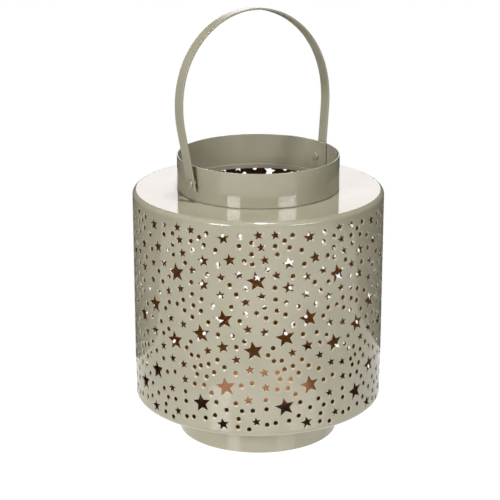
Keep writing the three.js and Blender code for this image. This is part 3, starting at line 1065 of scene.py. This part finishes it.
def area_light(name, place, size, radiance):
    """A rectangular light of this radiance, aimed at the lantern and out of the camera's own sight."""
    data = bpy.data.lights.new(name, "AREA")
    data.shape = "RECTANGLE"
    data.size, data.size_y = size
    data.energy = radiance * math.pi * size[0] * size[1]
    light = shown(name, data)
    light.location = place
    light.visible_camera = False
    light.rotation_euler = (STUDIO_MIDDLE - light.location).to_track_quat("-Z", "Y").to_euler()
    return light


def panel(name, turn, distance, size, radiance):
    """A light so many degrees to the camera's right."""
    azimuth = CAMERA_AZIMUTH + math.radians(turn)
    flat = distance * math.cos(PANEL_ELEVATION)
    rise = distance * math.sin(PANEL_ELEVATION)
    place = STUDIO_MIDDLE + Vector((flat * math.cos(azimuth), flat * math.sin(azimuth), rise))
    return area_light(name, place, size, radiance)


class LANTERN_OT_stage(bpy.types.Operator):
    """Sets the pale floor, the lights and the camera"""

    bl_idname = "lantern.stage"
    bl_label = "Studio"

    def execute(self, context):
        levels = context.scene.lantern_studio
        self.floor(context.scene.lantern_colours.table, levels)
        for name, turn, width, height in SOFTBOXES:
            panel(f"softbox_{name}", turn, SOFTBOX_DISTANCE, (width, height), levels.softbox)
        place = in_front(OVERHEAD_FORWARD, OVERHEAD_RIGHT, OVERHEAD_HEIGHT)
        overhead = area_light("overhead", place, OVERHEAD_SIZE, levels.overhead)
        overhead.rotation_euler = (0, 0, CAMERA_AZIMUTH + math.pi / 2)
        backdrop = panel("backdrop", 180, BACKDROP_DISTANCE, BACKDROP_SIZE, levels.backdrop)
        backdrop.data.color = BACKDROP_TINT
        self.surround(context.scene, levels)
        self.camera(context.scene)
        return {"FINISHED"}

    def floor(self, tone, levels):
        """A gloss plate on a table that ends behind the lantern, in a cove that only the camera sees."""
        outline = [
            (TABLE_SIDE, TABLE_BACK),
            *arc(TABLE_BOW_CENTRE, TABLE_BOW_RADIUS, *TABLE_BOW_TURNS, TABLE_BOW_STEPS),
            (-TABLE_SIDE, TABLE_BACK), (-TABLE_SIDE, TABLE_FRONT), (TABLE_SIDE, TABLE_FRONT),
        ]
        spots = [in_front(-away, right, -TABLE_DROP) for right, away in outline]
        table = bpy.data.meshes.new("table")
        table.from_pydata(spots, [], [range(len(spots))])
        plate = turned([(PLATE_RADIUS, 0), (0, 0)], PLATE_SEGMENTS)
        bend = arc((COVE_RADIUS - COVE_BEND, COVE_BEND), COVE_BEND, 0, -90, COVE_BEND_STEPS)
        cove = turned([(COVE_RADIUS, COVE_HEIGHT), *bend, (0, -COVE_DROP)], COVE_SEGMENTS)
        made = {}
        for name, mesh, base, glow, roughness, specular in (
            ("plate", plate, tone, levels.plate, PLATE_ROUGHNESS, 0.5),
            ("table", table, tone, levels.table, 1.0, 0.0),
            ("cove", cove, (0, 0, 0), 1.0, 1.0, 0.0),
        ):
            material, tree, shader = new_material(f"white_{name}")
            feed(tree, shader, {
                "Base Color": (*base, 1), "Roughness": roughness, "Specular IOR Level": specular,
                "Emission Color": (1, 1, 1, 1), "Emission Strength": glow,
            })
            mesh.materials.append(material)
            made[name] = shown(f"studio_{name}", mesh)
        made["plate"].location = in_front(PLATE_FORWARD, 0, 0)
        made["table"].visible_camera = False
        made["cove"].visible_diffuse = False
        made["cove"].visible_glossy = False
        made["cove"].visible_shadow = False

    def surround(self, scene, levels):
        """A dim white room."""
        world = bpy.data.worlds.new("white_room")
        world.use_nodes = True
        feed(world.node_tree, world.node_tree.nodes["Background"], {
            "Color": (1, 1, 1, 1), "Strength": levels.room,
        })
        scene.world = world

    def camera(self, scene):
        """The photograph's view, with plain display colours."""
        data = bpy.data.cameras.new("camera")
        data.lens = CAMERA_LENS
        data.sensor_width = CAMERA_SENSOR
        camera = shown("camera", data)
        camera.location = in_front(CAMERA_DISTANCE, 0, CAMERA_HEIGHT)
        heading = CAMERA_AZIMUTH + math.pi / 2 - CAMERA_YAW
        camera.rotation_euler = (math.pi / 2 - CAMERA_PITCH, 0, heading)
        scene.camera = camera
        scene.view_settings.view_transform = "Standard"


class LANTERN_PT_panel(bpy.types.Panel):
    """Sizes, colours and the steps that make the lantern"""

    bl_label = "Candle lantern"
    bl_idname = "LANTERN_PT_panel"
    bl_space_type = "VIEW_3D"
    bl_region_type = "UI"
    bl_category = "Lantern"

    def draw(self, context):
        for group in GROUPS:
            box = self.layout.box()
            owner = getattr(context.scene, group)
            for name in owner.__annotations__:
                box.prop(owner, name)
        for step in STEPS:
            self.layout.operator(step.bl_idname)


GROUPS = {
    "lantern_sheet": SheetSizes, "lantern_punch": PunchSizes, "lantern_strap": StrapSizes,
    "lantern_colours": FinishColours, "lantern_studio": StudioLevels,
}
STEPS = [
    LANTERN_OT_stage, LANTERN_OT_wall, LANTERN_OT_shoulder, LANTERN_OT_collar, LANTERN_OT_floor,
    LANTERN_OT_foot, LANTERN_OT_strap, LANTERN_OT_rivets,
]
CLASSES = [*GROUPS.values(), *STEPS, LANTERN_PT_panel]


def register():
    for one in CLASSES:
        bpy.utils.register_class(one)
    for name, group in GROUPS.items():
        setattr(bpy.types.Scene, name, PointerProperty(type=group))


def unregister():
    for name in GROUPS:
        delattr(bpy.types.Scene, name)
    for one in reversed(CLASSES):
        bpy.utils.unregister_class(one)


def main():
    register()
    bpy.ops.lantern.stage()
    bpy.ops.lantern.wall()
    bpy.ops.lantern.shoulder()
    bpy.ops.lantern.collar()
    bpy.ops.lantern.floor()
    bpy.ops.lantern.foot()
    bpy.ops.lantern.strap()
    bpy.ops.lantern.rivets()


if __name__ == "__main__":
    main()
